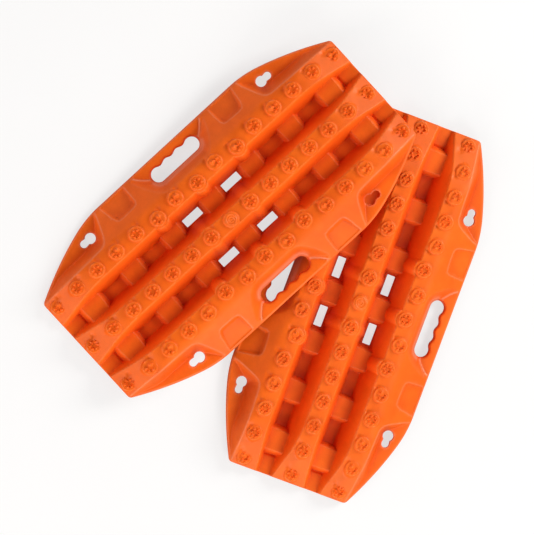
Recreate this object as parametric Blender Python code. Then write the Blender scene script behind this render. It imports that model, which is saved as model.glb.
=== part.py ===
"""Tyre traction mats: a pair of identical hollow recovery boards, one lying flat
and one leaning on it.

Each board is one injection-moulded shell with open underside: three long ridges
with studs, two valleys with cross blocks and drain holes, and two sloping side
decks with a finger-grip handle slot and keyhole hanging slots.  The boards are
loose, so the upper board can be lifted straight off.

Blender units are metres, +Z is up; the sizes below are in millimetres.  The origin
is the middle of the pair's overall footprint, on the ground, and X runs along the
lower board.  Each board is symmetric about its middle in outline, so most rules
take a distance x from the middle, and "outward" means away from its long axis.
"""

import math

import bpy
import bmesh
from mathutils import Matrix, Vector

MM = 0.001

# ---------------------------------------------------------------- board dimensions
HALF_LENGTH = 317.5
HALF_WIDTH = 160.0
WALL = 4.6                   # shell thickness
FLOOR_Z = 5.0                # top of the valley floor
RISE = 46.0                  # ridge top above valley floor
RIDGE_TOP_Z = FLOOR_Z + RISE
RIM_Z = 15.0                 # top of the rim all round
RIM_DEPTH = 7.0              # thickness of the rim

# Ridges falling to the ends
RAMP_START = 214.0
RAMP_BLEND = 60.0            # length of the rounded start of the ramp
RAMP_SLOPE = 0.0107          # share of RISE lost per millimetre on the ramp

# Cross-section
MID_BASE, MID_DRAFT = 32.5, 17.75      # middle ridge: half base, draft run
SIDE_BASE, SIDE_DRAFT = 52.1, 18.7     # side ridges: inner foot, draft run
SIDE_TOP_OUT = 100.0         # outer edge of the side ridge's flat top
DECK_SLOPE = 0.6             # fall of the side deck
MIN_DECK_RUN = 2.0           # least width of the sloping deck
RIDGE_CHAMFER = 2.6          # largest chamfer on the ridge edges
CHAMFER_SHARE = 0.25         # and its largest share of the ridge height
RIM_CHAMFER = 1.6
HANDLE_RUN, OTHER_RUN = 0.8, 0.47      # run per unit fall of the recess wall
MIN_RECESS_RUN = 0.8
MIN_RIM_WIDTH = 3.0          # rim left outside the recess wall
MIN_LEDGE = 6.0              # from the top of the recess wall to the outline

# How far the hollow side is set in from the upper skin
DRAFT_INSET = 0.68 * WALL    # ridge walls, sideways
BLOCK_END_INSET = 0.62 * WALL          # block ends, along the board
EXTRA_FLOOR = 0.4            # valley floor thickness beyond WALL
DECK_INSET = 1.4             # outer edge of the ridge top
HANDLE_INSET, OTHER_INSET = 1.8, 2.6   # recess wall
RECESS_FOOT_LAP = 1.0        # furthest the hollow's recess foot may go behind the top

# Plan outline: where it changes curve, and its two curvatures
STRAIGHT_END, CURVE_MID, CORNER_START = 145.0, 199.7, 306.0
TIGHT_CURVE, GENTLE_CURVE = 0.00265, 0.00105
# (share of the corner's length, drop in half width)
CORNER_DROP = ((0.0, 0.0), (0.55, 3.8), (1.0, 9.4))

# Top edge of the recess wall: (x from the middle, y from the long axis)
HANDLE_RECESS_END, KEY_RECESS_START = 79.0, 157.5
HANDLE_RECESS = ((0, 102.0), (38, 102.0), (55.5, 111.4), (66.5, 125.0),
                 (HANDLE_RECESS_END, 154.0))
KEY_RECESS = ((KEY_RECESS_START, 154.0), (166, 132.0), (175.5, 112.0), (186, 107.5),
              (215, 106.0), (290, 103.5), (HALF_LENGTH, 90.0))

# Studs: 15 along each of the three ridges
STUD_PITCH = 43.1
END_STUD = 7                 # steps from the middle to the last stud
STUD_ROW = 86.9              # side stud rows from the middle
STUD_ROW_NEAR = 81.0         # studs set inwards near the drain holes
STUD_ROW_END = 84.5          # last studs at the ends
NEAR_STUDS = (0, 2)          # steps from the middle of the studs set inwards
# Row: steps either way from the middle of the studs with one large tooth
MIXED_STUDS = {1: (1, 2, 4, 7), 0: (), -1: (1, 3, 5, 6)}

# Cross blocks in the valleys, one at every second stud: (centre, half length, top z)
BLOCKS = (
    (0.0, 22.5, 16.5),
    (2 * STUD_PITCH, 22.0, 16.5),
    (4 * STUD_PITCH, 22.5, 17.4),
    (6 * STUD_PITCH, 24.5, 20.2),
)
BLOCK_TAPER = 4.0            # run of a block's tapered end
END_FLOOR_START, END_FLOOR_RUN, END_FLOOR_RISE = 284.0, 4.0, 2.4

# Further distances from the middle where the shell has a section
EXTRA_STATIONS = (38.0, 55.5, HANDLE_RECESS_END, 158.5, 167.5, 178.0, RAMP_START, 250.0,
                  262.0, 292.0, CORNER_START, 312.3, HALF_LENGTH)

# ---------------------------------------------------------------- pose of the pair
# The pair's middle, seen from the middle of the lower board
PAIR_MIDDLE = (31.996, 160.956)
# Upper board, seen from the middle of the lower board: middle of its footprint,
# yaw, and lean onto the lower board
UPPER_XY = (53.0, 247.0)
UPPER_YAW = math.radians(-26.8)
UPPER_LEAN = (-0.0008, -0.1542)        # slopes of its base plane along X and Y
UPPER_Z = 28.25                        # height of its base plane at UPPER_XY

ORANGE = (0.84, 0.125, 0.024, 1.0)
SHARP_ANGLE = math.radians(30)


# ---------------------------------------------------------------- profile rules
def interpolate(x, points):
    """Straight-line interpolation through (x, value) points."""
    for (x_a, a), (x_b, b) in zip(points, points[1:]):
        if x <= x_b:
            return a + (b - a) * (x - x_a) / (x_b - x_a)
    return points[-1][1]


def ridge_share(x):
    """Ridge height as a share of RISE: 1 along the middle, falling to the ends."""
    x = abs(x)
    if x <= RAMP_START:
        return 1.0
    blend_end = RAMP_START + RAMP_BLEND
    if x <= blend_end:
        return 1.0 - RAMP_SLOPE / (2 * RAMP_BLEND) * (x - RAMP_START) ** 2
    return 1.0 - RAMP_SLOPE * RAMP_BLEND / 2 - RAMP_SLOPE * (x - blend_end)


def ridge_z(x):
    return FLOOR_Z + RISE * ridge_share(x)


def outline(x):
    """Half width of the board at distance x from the middle: straight sides, then
    a tight curve, a long gentle curve and a rounded corner."""
    x = abs(x)
    if x <= STRAIGHT_END:
        return HALF_WIDTH
    if x <= CURVE_MID:
        return HALF_WIDTH - TIGHT_CURVE * (x - STRAIGHT_END) ** 2
    if x <= CORNER_START:
        past = x - CURVE_MID
        slope = 2 * TIGHT_CURVE * (CURVE_MID - STRAIGHT_END)
        return outline(CURVE_MID) - slope * past - GENTLE_CURVE * past * past
    share = (x - CORNER_START) / (HALF_LENGTH - CORNER_START)
    return outline(CORNER_START) - interpolate(share, CORNER_DROP)


def recess_edge(x):
    """Where the sloping deck breaks down into the handle or keyhole recess."""
    x = abs(x)
    limit = outline(x) - MIN_LEDGE
    if x < HANDLE_RECESS_END:
        return min(interpolate(x, HANDLE_RECESS), limit)
    if x < KEY_RECESS_START:
        return limit
    return min(interpolate(x, KEY_RECESS), limit)


def valley_z(x):
    """Valley floor height: cross blocks stand on it, and it rises a little at the ends."""
    x = abs(x)
    for centre, half, top in BLOCKS:
        inside = half - abs(x - centre)
        if inside > 0:
            return min(top, FLOOR_Z + (top - FLOOR_Z) * inside / BLOCK_TAPER)
    return FLOOR_Z + END_FLOOR_RISE * min(1.0, max(0.0, x - END_FLOOR_START) / END_FLOOR_RUN)


def mid_wall(share):
    """y of the middle ridge's wall at a share of RISE above the valley floor."""
    return MID_BASE - MID_DRAFT * share


def side_wall(share):
    """y of the side ridge's inner wall at a share of RISE above the valley floor."""
    return SIDE_BASE + SIDE_DRAFT * share


def section(x, hollow):
    """Points (y, z) of half a cross-section, from the middle ridge out to the rim,
    on the upper skin or on the hollow side."""
    ridge = ridge_z(x)
    valley = valley_z(x)
    top_share = ridge_share(x)
    valley_share = (valley - FLOOR_Z) / RISE
    edge = outline(x)
    at_handle = abs(x) < HANDLE_RECESS_END

    # side deck down to the recess wall, and the wall down to the rim
    recess = recess_edge(x)
    top_out = min(SIDE_TOP_OUT, recess - MIN_DECK_RUN)
    deck = max(ridge - DECK_SLOPE * (recess - top_out), min(ridge, RIM_Z))
    rim = min(RIM_Z, ridge - 0.2)
    run = (deck - rim) * (HANDLE_RUN if at_handle else OTHER_RUN)
    foot = min(recess + max(run, MIN_RECESS_RUN), edge - MIN_RIM_WIDTH)

    if hollow:
        inset = HANDLE_INSET if at_handle else OTHER_INSET
        valley_under = valley - WALL - EXTRA_FLOOR
        return [
            (mid_wall(top_share) - DRAFT_INSET, ridge - WALL),
            (mid_wall(valley_share) - DRAFT_INSET, valley_under),
            (side_wall(valley_share) + DRAFT_INSET, valley_under),
            (side_wall(top_share) + DRAFT_INSET, ridge - WALL),
            (top_out - DECK_INSET, ridge - WALL),
            (recess - inset, deck - WALL),
            (max(foot - inset, recess - RECESS_FOOT_LAP), rim - WALL),
            (edge, rim - RIM_DEPTH),
        ]
    chamfer = min(RIDGE_CHAMFER, CHAMFER_SHARE * (ridge - valley))
    return [
        (mid_wall(top_share) - 0.8 * chamfer, ridge),
        (mid_wall(top_share) + 0.35 * chamfer, ridge - chamfer),
        (mid_wall(valley_share), valley),
        (side_wall(valley_share), valley),
        (side_wall(top_share) - 0.35 * chamfer, ridge - chamfer),
        (side_wall(top_share) + 0.8 * chamfer, ridge),
        (top_out, ridge),
        (recess, deck),
        (foot, rim),
        (edge - RIM_CHAMFER, rim),
        (edge, rim - RIM_CHAMFER),
    ]


def stations():
    """(x, shift) of every section.  The shift moves the hollow side along the board,
    to keep a wall thickness at each block end."""
    half = [(0.0, 0.0)] + [(x, 0.0) for x in EXTRA_STATIONS]
    for centre, half_block, _ in BLOCKS:
        for side in (-1, 1):
            for reach in (half_block, half_block - BLOCK_TAPER):
                x = centre + side * reach
                if x > 0:
                    half.append((x, -side * BLOCK_END_INSET))
    half.sort()
    return [(-x, -shift) for x, shift in reversed(half[1:])] + half


# ---------------------------------------------------------------- building helpers
def new_object(name, bm):
    bmesh.ops.recalc_face_normals(bm, faces=bm.faces)
    mesh = bpy.data.meshes.new(name)
    bm.to_mesh(mesh)
    bm.free()
    return link_object(name, mesh)


def link_object(name, data):
    obj = bpy.data.objects.new(name, data)
    bpy.context.scene.collection.objects.link(obj)
    return obj


def add_vert(bm, x, y, z):
    return bm.verts.new((x * MM, y * MM, z * MM))


def level_loop(bm, points, z):
    """Vertices over plan points, all at height z."""
    return [add_vert(bm, x, y, z) for x, y in points]


def circle(cx, cy, radius, count, turn=0.0):
    """Plan points of a regular polygon, the first at angle turn."""
    angles = [turn + 2 * math.pi * k / count for k in range(count)]
    return [(cx + radius * math.cos(a), cy + radius * math.sin(a)) for a in angles]


def arc(cx, cy, radius, start, sweep, steps):
    """Plan points along an arc, with start and sweep in degrees."""
    angles = [math.radians(start + sweep * k / steps) for k in range(steps + 1)]
    return [(cx + radius * math.cos(a), cy + radius * math.sin(a)) for a in angles]


def frustum(bm, low, high):
    """Closed solid between two vertex loops of equal count."""
    count = len(low)
    bm.faces.new(low)
    bm.faces.new(list(reversed(high)))
    for k in range(count):
        after = (k + 1) % count
        bm.faces.new((low[k], high[k], high[after], low[after]))


# ---------------------------------------------------------------- shell
def shell():
    """The hollow board: an upper and a lower skin lofted along the length, joined at the rim."""
    bm = bmesh.new()
    skins = []
    for hollow in (False, True):
        rows = []
        for x, shift in stations():
            x_row = x + (shift if hollow else 0.0)
            half = section(x, hollow)
            full = [(-y, z) for y, z in reversed(half)] + half
            rows.append([add_vert(bm, x_row, y, z) for y, z in full])
        for a, b in zip(rows, rows[1:]):
            for j in range(len(a) - 1):
                bm.faces.new((a[j], a[j + 1], b[j + 1], b[j]))
        skins.append(rows)
    top, under = skins
    for i in range(len(top) - 1):
        for side in (0, -1):
            bm.faces.new((top[i][side], top[i + 1][side], under[i + 1][side], under[i][side]))
    for end in (0, -1):
        bm.faces.new(top[end] + list(reversed(under[end])))
    bmesh.ops.triangulate(bm, faces=bm.faces)
    return new_object("board_shell", bm)


# ---------------------------------------------------------------- studs
STUD_RADIUS, STUD_RISE = 12.5, 4.0
STUD_FLARE = 0.6             # extra radius at the plinth's foot
STUD_SINK = 2.2              # depth of the foot in the ridge
MIN_PLINTH = 0.8             # least height of a plinth's side
TOOTH_RISE, TOOTH_SINK = 6.2, 1.0
SMALL_TOOTH, LARGE_TOOTH = 3.1, 6.0    # radii
CROWN_RADIUS = 7.0           # circle of the six small teeth
LARGE_OFFSET, SMALL_OFFSET = 4.2, 7.2  # mixed stud: teeth from the plinth's centre
SMALL_SPREAD = math.radians(58)        # angle between its small teeth


def stud_places():
    """(x, y, steps from the middle, row) for every stud of a board."""
    for row in (1, 0, -1):
        for step in range(-END_STUD, END_STUD + 1):
            y = STUD_ROW
            if abs(step) in NEAR_STUDS:
                y = STUD_ROW_NEAR
            elif abs(step) == END_STUD:
                y = STUD_ROW_END
            yield step * STUD_PITCH, row * y, step, row


def plinths():
    """Round plinths, each a short boss on its ridge with a level top."""
    bm = bmesh.new()
    for cx, cy, _, _ in stud_places():
        top = ridge_z(cx) + STUD_RISE
        low = [add_vert(bm, x, y, min(ridge_z(x) - STUD_SINK, top - MIN_PLINTH))
               for x, y in circle(cx, cy, STUD_RADIUS + STUD_FLARE, 8)]
        high = level_loop(bm, circle(cx, cy, STUD_RADIUS, 8), top)
        frustum(bm, low, high)
    return new_object("stud_plinths", bm)


def tooth(bm, stud, offset, angle, radius):
    """A three-sided pointed tooth on a stud (x, y, top z), set off from its centre."""
    x = stud[0] + offset * math.cos(angle)
    y = stud[1] + offset * math.sin(angle)
    low = level_loop(bm, circle(x, y, radius, 3, angle), stud[2] - TOOTH_SINK)
    tip = add_vert(bm, x, y, stud[2] + TOOTH_RISE)
    bm.faces.new(low)
    for k in range(3):
        bm.faces.new((low[k], tip, low[(k + 1) % 3]))


def teeth():
    """Gripping teeth on every plinth but the blank middle one: a crown of six,
    or one large tooth with three small ones beside it."""
    bm = bmesh.new()
    for cx, cy, step, row in stud_places():
        if step == 0 and row == 0:
            continue
        stud = (cx, cy, ridge_z(cx) + STUD_RISE)
        if abs(step) in MIXED_STUDS[row]:
            # the large tooth is set towards +Y and the middle of the board's length
            inward = -1 if step > 0 else 1
            heading = math.atan2(3.0, 3.6 * inward)
            tooth(bm, stud, LARGE_OFFSET, heading, LARGE_TOOTH)
            for k in (-1, 0, 1):
                angle = heading + math.pi + k * SMALL_SPREAD
                tooth(bm, stud, SMALL_OFFSET, angle, SMALL_TOOTH)
        else:
            for k in range(6):
                tooth(bm, stud, CROWN_RADIUS, math.pi / 6 + math.pi / 3 * k, SMALL_TOOTH)
    return new_object("stud_teeth", bm)


# ---------------------------------------------------------------- wall bulges
BULGE_LOW_Z = FLOOR_Z - 2.0
BULGE_HIGH_Z = RIDGE_TOP_Z - 1.2
SIDE_BULGE_FOOT_Y = 69.5
SIDE_BULGE_FOOT, SIDE_BULGE_HEAD = 19.0, 15.6    # radii
# Middle ridge, (reach of the arc centres from the long axis, radius)
MID_BULGE_FOOT, MID_BULGE_HEAD = (17.5, 17.5), (0.8, 15.4)


def stadium(cx, reach, radius):
    """Plan points of two half circles, reach to either side of the long axis."""
    return arc(cx, reach, radius, 0, 180, 5) + arc(cx, -reach, radius, 180, 180, 5)


def bulges():
    """Half-round columns on the ridge walls under the studs beside the drain holes."""
    bm = bmesh.new()
    for side in (1, -1):
        for step in (-2, 0, 2):
            x = step * STUD_PITCH
            foot = circle(x, side * SIDE_BULGE_FOOT_Y, SIDE_BULGE_FOOT, 10)
            head = circle(x, side * STUD_ROW_NEAR, SIDE_BULGE_HEAD, 10)
            frustum(bm, level_loop(bm, foot, BULGE_LOW_Z), level_loop(bm, head, BULGE_HIGH_Z))
    for step in (-1, 1):
        x = step * STUD_PITCH
        foot = stadium(x, *MID_BULGE_FOOT)
        head = stadium(x, *MID_BULGE_HEAD)
        frustum(bm, level_loop(bm, foot, BULGE_LOW_Z), level_loop(bm, head, BULGE_HIGH_Z))
    return new_object("wall_bulges", bm)


# ---------------------------------------------------------------- openings
CUT_LOW_Z, CUT_HIGH_Z = -20.0, 90.0
HOLE_X, HOLE_Y, HOLE_LENGTH, HOLE_WIDTH = 42.6, 43.8, 35.0, 14.0   # drain holes
KEY_Y = 131.0
KEY_HEAD_X, KEY_HEAD_RADIUS = 188.6, 9.0
KEY_NECK_X, KEY_NECK_RADIUS = 202.3, 6.0
SLOT_HALF, SLOT_IN, SLOT_OUT = 49.0, 119.6, 144.5         # handle slot
SLOT_CORNER = 11.0
FINGER_PITCH, FINGER_DEPTH = 24.0, 1.5    # scallops: spacing, half their depth


def drain_hole():
    x_low, x_high = HOLE_X - HOLE_LENGTH / 2, HOLE_X + HOLE_LENGTH / 2
    y_low, y_high = HOLE_Y - HOLE_WIDTH / 2, HOLE_Y + HOLE_WIDTH / 2
    return [(x_low, y_low), (x_high, y_low), (x_high, y_high), (x_low, y_high)]


def keyhole():
    return (arc(KEY_HEAD_X, KEY_Y, KEY_HEAD_RADIUS, 38, 284, 8)
            + arc(KEY_NECK_X, KEY_Y, KEY_NECK_RADIUS, -100, 200, 4))


def handle_slot():
    """Rounded slot with finger scallops along its outer side."""
    corner_x = SLOT_HALF - SLOT_CORNER
    y_in, y_out = SLOT_IN + SLOT_CORNER, SLOT_OUT - SLOT_CORNER
    scallops = []
    for k in range(6, -7, -1):
        x = FINGER_PITCH / 4 * k
        wave = FINGER_DEPTH * math.cos(2 * math.pi * x / FINGER_PITCH)
        scallops.append((x, SLOT_OUT - FINGER_DEPTH - wave))
    return (arc(corner_x, y_in, SLOT_CORNER, -90, 90, 3)
            + arc(corner_x, y_out, SLOT_CORNER, 0, 90, 3)
            + scallops
            + arc(-corner_x, y_out, SLOT_CORNER, 90, 90, 3)
            + arc(-corner_x, y_in, SLOT_CORNER, 180, 90, 3))


def cut_prism(bm, points, side_x, side_y):
    """Upright prism right through the board, mirrored by the two signs."""
    placed = [(side_x * x, side_y * y) for x, y in points]
    frustum(bm, level_loop(bm, placed, CUT_LOW_Z), level_loop(bm, placed, CUT_HIGH_Z))


def openings():
    """Cutter for the drain holes, the handle slots and the keyholes."""
    bm = bmesh.new()
    for side_x in (1, -1):
        for side_y in (1, -1):
            cut_prism(bm, drain_hole(), side_x, side_y)
            cut_prism(bm, keyhole(), side_x, side_y)
    for side_y in (1, -1):
        cut_prism(bm, handle_slot(), 1, side_y)
    return new_object("opening_cutter", bm)


# ---------------------------------------------------------------- assembly
def add_boolean(obj, tool, operation):
    modifier = obj.modifiers.new(tool.name, "BOOLEAN")
    modifier.operation = operation
    modifier.solver = "EXACT"
    modifier.use_self = False
    modifier.object = tool


def board_mesh():
    """One finished board, built at the origin, as a mesh both boards share."""
    body = shell()
    tools = [(bulges(), "UNION"), (plinths(), "UNION"), (teeth(), "UNION"),
             (openings(), "DIFFERENCE")]
    for tool, operation in tools:
        add_boolean(body, tool, operation)
    graph = bpy.context.evaluated_depsgraph_get()
    mesh = bpy.data.meshes.new_from_object(body.evaluated_get(graph))
    for obj in [body] + [tool for tool, _ in tools]:
        bpy.data.objects.remove(obj, do_unlink=True)

    # clear slivers and needless edges left by the booleans
    bm = bmesh.new()
    bm.from_mesh(mesh)
    bmesh.ops.remove_doubles(bm, verts=bm.verts, dist=0.02 * MM)
    bmesh.ops.dissolve_limit(bm, angle_limit=math.radians(0.2), verts=bm.verts, edges=bm.edges)
    bmesh.ops.triangulate(bm, faces=bm.faces)
    bm.to_mesh(mesh)
    bm.free()
    mesh.name = "traction_board"
    return mesh


def plastic():
    material = bpy.data.materials.new("moulded_nylon_orange")
    material.use_nodes = True
    shader = material.node_tree.nodes["Principled BSDF"]
    shader.inputs["Base Color"].default_value = ORANGE
    shader.inputs["Roughness"].default_value = 0.45
    shader.inputs["Metallic"].default_value = 0.0
    material.diffuse_color = ORANGE
    return material


def leaning_pose():
    """Place and rotation of the upper board: yaw first, then lean to its base plane."""
    normal = Vector((-UPPER_LEAN[0], -UPPER_LEAN[1], 1.0)).normalized()
    lean = Vector((0, 0, 1)).rotation_difference(normal).to_matrix()
    turn = lean @ Matrix.Rotation(UPPER_YAW, 3, "Z")
    place = Vector((UPPER_XY[0] - PAIR_MIDDLE[0], UPPER_XY[1] - PAIR_MIDDLE[1], UPPER_Z)) * MM
    return place, turn


def main():
    for obj in list(bpy.data.objects):
        bpy.data.objects.remove(obj, do_unlink=True)
    mesh = board_mesh()
    mesh.materials.append(plastic())
    mesh.shade_smooth()
    mesh.set_sharp_from_angle(angle=SHARP_ANGLE)

    lower = link_object("lower_board", mesh)
    lower.location = (-PAIR_MIDDLE[0] * MM, -PAIR_MIDDLE[1] * MM, 0.0)

    place, turn = leaning_pose()
    lift = link_object("upper_board_lift", None)   # the board slides up from here
    lift.location = place
    upper = link_object("upper_board", mesh)
    upper.parent = lift
    upper.rotation_euler = turn.to_euler()
    bpy.context.view_layer.update()


main()
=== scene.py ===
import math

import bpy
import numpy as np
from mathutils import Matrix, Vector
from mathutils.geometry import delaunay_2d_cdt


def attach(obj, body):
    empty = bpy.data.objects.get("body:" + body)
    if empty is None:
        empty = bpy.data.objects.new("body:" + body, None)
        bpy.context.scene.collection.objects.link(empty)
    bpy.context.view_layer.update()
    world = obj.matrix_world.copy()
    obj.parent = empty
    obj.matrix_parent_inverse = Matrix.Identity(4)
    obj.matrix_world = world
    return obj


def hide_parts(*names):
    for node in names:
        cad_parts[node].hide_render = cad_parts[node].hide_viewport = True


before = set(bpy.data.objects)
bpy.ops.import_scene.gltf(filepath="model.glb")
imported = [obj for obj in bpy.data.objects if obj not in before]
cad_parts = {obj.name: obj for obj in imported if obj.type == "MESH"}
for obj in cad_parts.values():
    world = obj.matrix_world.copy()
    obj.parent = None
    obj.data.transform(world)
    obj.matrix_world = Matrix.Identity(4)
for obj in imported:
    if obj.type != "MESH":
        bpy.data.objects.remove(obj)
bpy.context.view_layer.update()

# A pair of identical moulded traction boards: the lower one flat on the floor, the upper one
# turned and leaning on it.  In a board's own plan, in millimetres, x runs along the board
# from its middle, y across it, and z up from its underside.  The upper and lower skins are
# height rules z(x, y), sampled at points that follow every edge, fillet and tooth, and joined
# into one closed mesh.

# ---------------------------------------------------------------- dimensions, mm
MM = 0.001                              # metres in a millimetre
HALF_LENGTH, HALF_WIDTH = 317.5, 160.0
CORNER_RADIUS = 8.0
WALL = 4.6
FLOOR_Z, RISE = 5.0, 46.0               # valley floor, and ridge height above it
RIM_Z, RIM_UNDER = 15.0, 8.0            # keyhole recess floor, and underside of the thick rims

# the long edges: straight, then a tight bend, then a gentle one
STRAIGHT_END, TIGHT_RUN = 145.0, 54.7
GENTLE_START = STRAIGHT_END + TIGHT_RUN
TIGHT_BEND, GENTLE_BEND = 0.00265, 0.00105

# the ridge tops: level, then bending down to a steady slope at each end
RAMP_START, RAMP_BEND, RAMP_SLOPE = 214, 60, 0.0107

# ridge walls: y of the foot, and how far the wall leans over the full rise
MIDDLE_FOOT, MIDDLE_RUN = 32.5, 17.75
SIDE_FOOT, SIDE_RUN = 52.1, 18.7
VALLEY_Y = (MIDDLE_FOOT + SIDE_FOOT) / 2

STUD_PITCH = 43.1
PLINTH_RADIUS, PLINTH_RIM = 11.1, 1.15  # flat top, and rounding of its rim
SLOT_HALF, SLOT_IN, SLOT_OUT, SLOT_CORNER = 49.0, 119.6, 144.5, 12.3

# cross blocks in the valleys: x of the middle, half length, top z
BLOCK_SLOPE = 2.7
BLOCKS = [(pitches * STUD_PITCH, half, top) for pitches, half, top in (
    (0, 22.5, 16.5), (2, 22.0, 16.5), (4, 22.5, 17.4), (6, 24.5, 20.2))]

# (row, stud number 1 to 15 along x) of the studs with one large and three small teeth
MIXED = ({(1, n) for n in (1, 4, 6, 7, 9, 10, 12, 15)}
         | {(-1, n) for n in (2, 3, 5, 7, 9, 11, 13, 14)})

# places of the boards, seen from the middle of the lower one
PAIR_MIDDLE = (31.996, 160.956)
UPPER_XY, UPPER_Z = (53.0, 247.0), 28.25
UPPER_YAW = math.radians(-26.8)
UPPER_LEAN = (-0.0008, -0.1542)         # slope of the upper board along X and Y


# ---------------------------------------------------------------- small rules
def soft_min(first, second, blend):
    gap = np.maximum(blend - np.abs(first - second), 0.0)
    return np.minimum(first, second) - gap * gap / (4 * blend)


def soft_max(first, second, blend):
    gap = np.maximum(blend - np.abs(first - second), 0.0)
    return np.maximum(first, second) + gap * gap / (4 * blend)


def smooth(t):
    t = np.clip(t, 0.0, 1.0)
    return t * t * (3 - 2 * t)


def ramp(x):
    """Share of the full rise that the ridges have at x."""
    x = np.abs(x)
    bend_end = RAMP_START + RAMP_BEND
    bending = 1 - RAMP_SLOPE / (2 * RAMP_BEND) * (x - RAMP_START) ** 2
    sloping = 1 - RAMP_SLOPE * (RAMP_BEND / 2) - RAMP_SLOPE * (x - bend_end)
    return np.where(x <= RAMP_START, 1.0, np.where(x <= bend_end, bending, sloping))


def half_outline(x):
    """Half width of the board at x, short of the corner."""
    x = np.abs(x)
    tight = HALF_WIDTH - TIGHT_BEND * np.maximum(x - STRAIGHT_END, 0) ** 2
    past = np.maximum(x - GENTLE_START, 0)
    gentle = (HALF_WIDTH - TIGHT_BEND * TIGHT_RUN ** 2 - 2 * TIGHT_BEND * TIGHT_RUN * past
              - GENTLE_BEND * past * past)
    return np.where(x <= GENTLE_START, tight, gentle)


def signed_distance(x, y, polygon):
    """Distance to a closed polygon, positive inside."""
    nearest = np.full(x.shape, 1e9)
    inside = np.zeros(x.shape, bool)
    for k, (x0, y0) in enumerate(polygon):
        x1, y1 = polygon[(k + 1) % len(polygon)]
        run, rise = x1 - x0, y1 - y0
        t = ((x - x0) * run + (y - y0) * rise) / max(run * run + rise * rise, 1e-12)
        t = np.clip(t, 0, 1)
        nearest = np.minimum(nearest, (x - x0 - t * run) ** 2 + (y - y0 - t * rise) ** 2)
        if y0 != y1:
            inside ^= ((y0 > y) != (y1 > y)) & (x < (x1 - x0) * (y - y0) / (y1 - y0) + x0)
    nearest = np.sqrt(nearest)
    return np.where(inside, nearest, -nearest)


def resample(polygon, step):
    """Points about step apart along a closed polygon, keeping its corners."""
    points = []
    for k, corner in enumerate(polygon):
        start = np.array(corner, float)
        end = np.array(polygon[(k + 1) % len(polygon)], float)
        count = max(1, int(round(np.hypot(*(end - start)) / step)))
        points += [tuple(start + (end - start) * j / count) for j in range(count)]
    return points


def arc(centre_x, centre_y, radius, start, end, count):
    """Points of an arc, with its angles in degrees."""
    angles = [math.radians(start + (end - start) * k / count) for k in range(count + 1)]
    return [(centre_x + radius * math.cos(a), centre_y + radius * math.sin(a)) for a in angles]


def circle_offsets(radius, count):
    angles = [2 * math.pi * k / count for k in range(count)]
    return [(radius * math.cos(a), radius * math.sin(a)) for a in angles]


# ---------------------------------------------------------------- plan loops
def outline_loop():
    """The plan outline, clockwise from (0, +y): a quarter worked out, then mirrored."""
    quarter = [(x, HALF_WIDTH) for x in np.arange(0.0, STRAIGHT_END, 3.6)]
    quarter += [(float(x), float(half_outline(x))) for x in np.arange(STRAIGHT_END, 308.0, 2.8)]
    # corner: an arc tangent to the sloping edge and to the end
    x, y = quarter[-1]
    slope = -(2 * TIGHT_BEND * TIGHT_RUN + 2 * GENTLE_BEND * (x - GENTLE_START))
    along = np.array([1.0, slope]) / math.hypot(1.0, slope)
    inward = np.array([slope, -1.0]) / math.hypot(1.0, slope)
    run = (HALF_LENGTH - CORNER_RADIUS - x - inward[0] * CORNER_RADIUS) / along[0]
    centre = np.array([x, y]) + inward * CORNER_RADIUS + along * run
    start = math.degrees(math.atan2(-inward[1], -inward[0]))
    quarter += arc(centre[0], centre[1], CORNER_RADIUS, start, 0.0, 7)
    end_y = quarter[-1][1]
    right = quarter + [(HALF_LENGTH, float(y)) for y in np.linspace(end_y, 0.0, 30)[1:]]
    right += [(x, -y) for x, y in reversed(right[:-1])]
    return right + [(-x, y) for x, y in reversed(right[1:-1])]


def slot_loop(side_y):
    """A handle slot with round corners and a scalloped outer edge."""
    corner_x, low_y, high_y = SLOT_HALF - SLOT_CORNER, SLOT_IN + SLOT_CORNER, SLOT_OUT - SLOT_CORNER
    depth, pitch, fade_start, fade = 1.7, 24.0, 30.0, 6.7     # of the scallops
    points = arc(corner_x, low_y, SLOT_CORNER, -90, 0, 9)[:-1]
    points += arc(corner_x, high_y, SLOT_CORNER, 0, 90, 9)[:-1]
    for x in np.arange(36.0, -36.1, -1.5):
        blend = 1.0 - smooth((abs(x) - fade_start) / fade)
        scallop = float(blend) * (depth + depth * math.cos(2 * math.pi * x / pitch))
        points.append((float(x), SLOT_OUT - scallop))
    points += arc(-corner_x, high_y, SLOT_CORNER, 90, 180, 9)[1:-1]
    points += arc(-corner_x, low_y, SLOT_CORNER, 180, 270, 9)
    return [(x, side_y * y) for x, y in resample(points, 2.2)]


def keyhole_loop(side_x, side_y):
    """A round hole run together with a smaller one nearer the board's end."""
    y, opening = 131.0, 38.0            # opening: half angle left open towards the small hole
    points = arc(188.6, y, 9.0, opening, 360 - opening, 22)
    points += arc(202.3, y, 6.3, -104, 104, 14)
    return [(side_x * x, side_y * y) for x, y in points]


def drain_loop(side_x, side_y):
    """A small oblong drain hole in the valley floor."""
    middle_x, middle_y, half_x, half_y, radius = 42.6, 43.8, 17.4, 7.1, 1.2
    points = []
    for end_x, end_y, start in ((1, 1, 0), (-1, 1, 90), (-1, -1, 180), (1, -1, 270)):
        points += arc(middle_x + end_x * (half_x - radius), middle_y + end_y * (half_y - radius),
                      radius, start, start + 90, 3)
    return [(side_x * x, side_y * y) for x, y in resample(points, 2.4)]


QUADRANTS = [(side_x, side_y) for side_x in (1, -1) for side_y in (1, -1)]
OUTLINE = outline_loop()
HOLES = {
    "slot": [slot_loop(1), slot_loop(-1)],
    "keyhole": [keyhole_loop(*sides) for sides in QUADRANTS],
    "drain": [drain_loop(*sides) for sides in QUADRANTS],
}
LOOPS = [("outline", OUTLINE)] + [(kind, loop) for kind, loops in HOLES.items() for loop in loops]

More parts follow.
